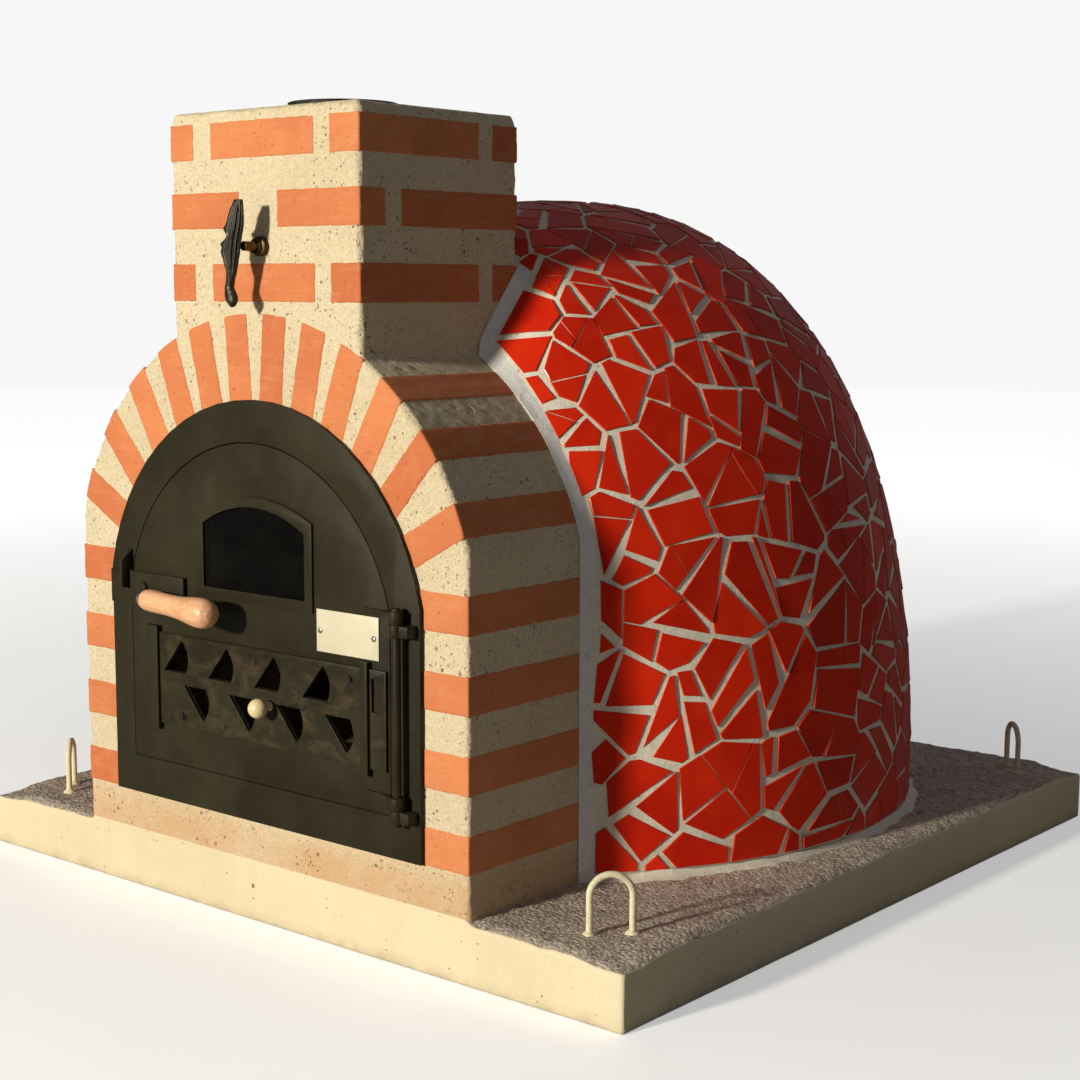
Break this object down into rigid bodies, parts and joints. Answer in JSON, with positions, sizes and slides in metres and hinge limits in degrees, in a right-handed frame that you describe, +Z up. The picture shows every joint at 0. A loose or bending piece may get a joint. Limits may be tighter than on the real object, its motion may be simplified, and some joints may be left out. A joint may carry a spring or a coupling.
{
  "type": "wood fired pizza oven",
  "caption": "Domed wood fired pizza oven on a concrete slab, with mosaic tiles, a brick arch front, a hinged steel door with a vent slider and latch, and a short chimney with a damper.",
  "frame": {"origin": "centre of the slab's underside", "axes": "+Z up, +X to the right of someone who faces the door, -Y out of the door"},
  "size_m": [1.2, 1.2772, 1.075],
  "materials": {
    "concrete": "trowelled, matt",
    "painted_bar": "matt",
    "mortar": "rough, matt",
    "brick": "matt",
    "firebrick": "matt",
    "insulation": "matt",
    "grout": "rough, matt",
    "glazed_tile": "glossy",
    "stove_black": "satin",
    "black_steel": "satin",
    "dark_bronze": "satin",
    "bright_steel": "satin",
    "cream_plate": "satin",
    "smoked_glass": "glossy",
    "cream_knob": "glossy",
    "beech": "oiled"
  },
  "bodies": {
    "oven": {"base_slab": "concrete", "hearth_insulation": "insulation", "hearth_floor": "firebrick", "refractory_dome": "firebrick", "insulation_layer": "insulation", "render_shell": "grout", "mosaic_cladding": "glazed_tile", "arch_block": "mortar", "chimney_block": "mortar", "flue_pipe": "black_steel", "flue_collar": "black_steel", "damper_bush": "dark_bronze", "door_frame": "stove_black", "hinge_bracket_top": "stove_black", "hinge_bracket_bottom": "stove_black", "latch_keeper": "stove_black", "lifting_loop_front_left": "painted_bar", "lifting_loop_front_right": "painted_bar", "lifting_loop_back_left": "painted_bar", "lifting_loop_back_right": "painted_bar", "arch_brick_01": "brick", "arch_brick_02": "brick", "arch_brick_03": "brick", "arch_brick_04": "brick", "arch_brick_05": "brick", "arch_brick_06": "brick", "arch_brick_07": "brick", "arch_brick_08": "brick", "arch_brick_09": "brick", "arch_brick_10": "brick", "arch_brick_11": "brick", "arch_brick_12": "brick", "jamb_brick_left_1": "brick", "jamb_brick_left_2": "brick", "jamb_brick_left_3": "brick", "jamb_brick_left_4": "brick", "jamb_brick_right_1": "brick", "jamb_brick_right_2": "brick", "jamb_brick_right_3": "brick", "jamb_brick_right_4": "brick"},
    "door": {"door_leaf": "stove_black", "window_frame": "stove_black", "window_glass": "smoked_glass", "name_plate": "cream_plate", "name_plate_screw_left": "bright_steel", "name_plate_screw_right": "bright_steel", "vent_guide_left": "stove_black", "vent_guide_right": "stove_black", "hinge_rod": "stove_black", "hinge_strap_top": "stove_black", "hinge_strap_bottom": "stove_black", "latch_pivot": "stove_black"},
    "vent": {"vent_slider": "stove_black", "vent_knob": "cream_knob"},
    "latch": {"latch_bar": "stove_black", "handle_grip": "beech", "handle_ferrule": "bright_steel"},
    "damper": {"damper_spindle": "dark_bronze", "damper_handle": "dark_bronze", "damper_plate": "black_steel"}
  },
  "joints": [
    {"name": "door_hinge", "type": "hinge", "parent": "oven", "child": "door", "pos_m": [0.268, -0.6203, 0.32], "axis": [0, 0, 1], "range_deg": [0, 140]},
    {"name": "vent_slide", "type": "slide", "parent": "door", "child": "vent", "axis": [-1, 0, 0], "range_m": [0, 0.031]},
    {"name": "latch_pivot_turn", "type": "hinge", "parent": "door", "child": "latch", "pos_m": [-0.217, -0.611, 0.43], "axis": [0, -1, 0], "range_deg": [0, 48]},
    {"name": "damper_turn", "type": "hinge", "parent": "oven", "child": "damper", "pos_m": [0.017, -0.6, 0.888], "axis": [0, 1, 0], "range_deg": [0, 90]}
  ]
}
